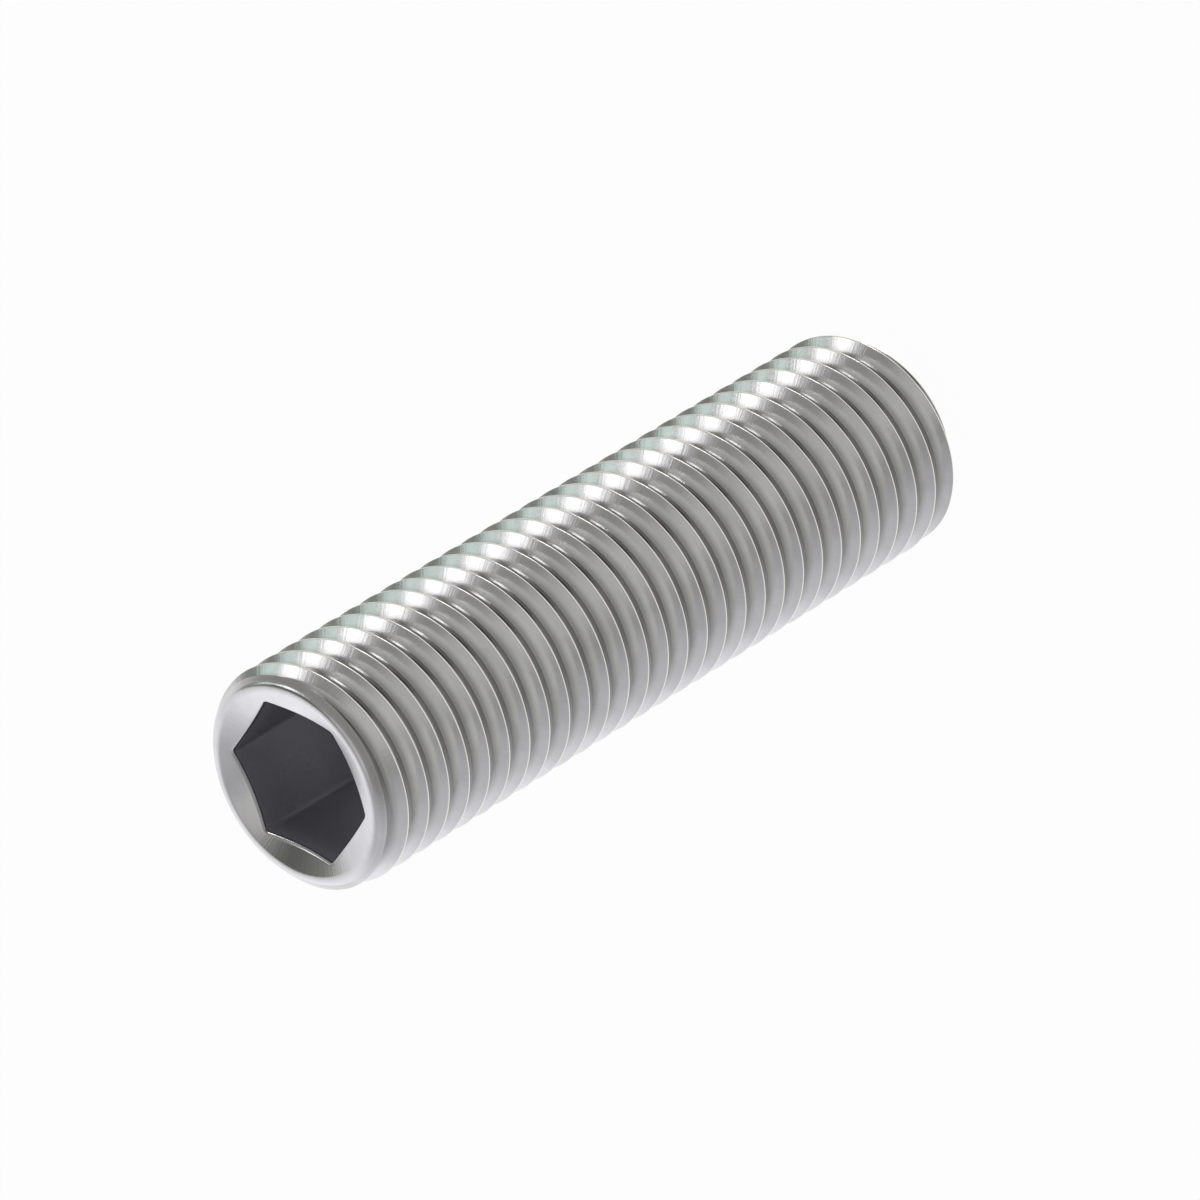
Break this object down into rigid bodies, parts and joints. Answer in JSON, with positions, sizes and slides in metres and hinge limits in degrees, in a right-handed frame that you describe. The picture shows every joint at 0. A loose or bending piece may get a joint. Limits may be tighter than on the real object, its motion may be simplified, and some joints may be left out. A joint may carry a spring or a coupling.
{
  "type": "socket set screw",
  "caption": "Headless steel rod with a right-hand thread along its whole length, a hexagon socket inside a rolled rim at one end and a chamfered flat point at the other.",
  "frame": {"origin": "centre of the flat point face that the screw stands on", "axes": "+Z along the screw's axis from the point up to the socket, +X through a corner of the hexagon"},
  "size_m": [0.016, 0.016, 0.06],
  "materials": {
    "steel": "bright rolled steel with fine drawing lines along the thread"
  },
  "bodies": {
    "root": {"set_screw": "steel"}
  },
  "joints": []
}
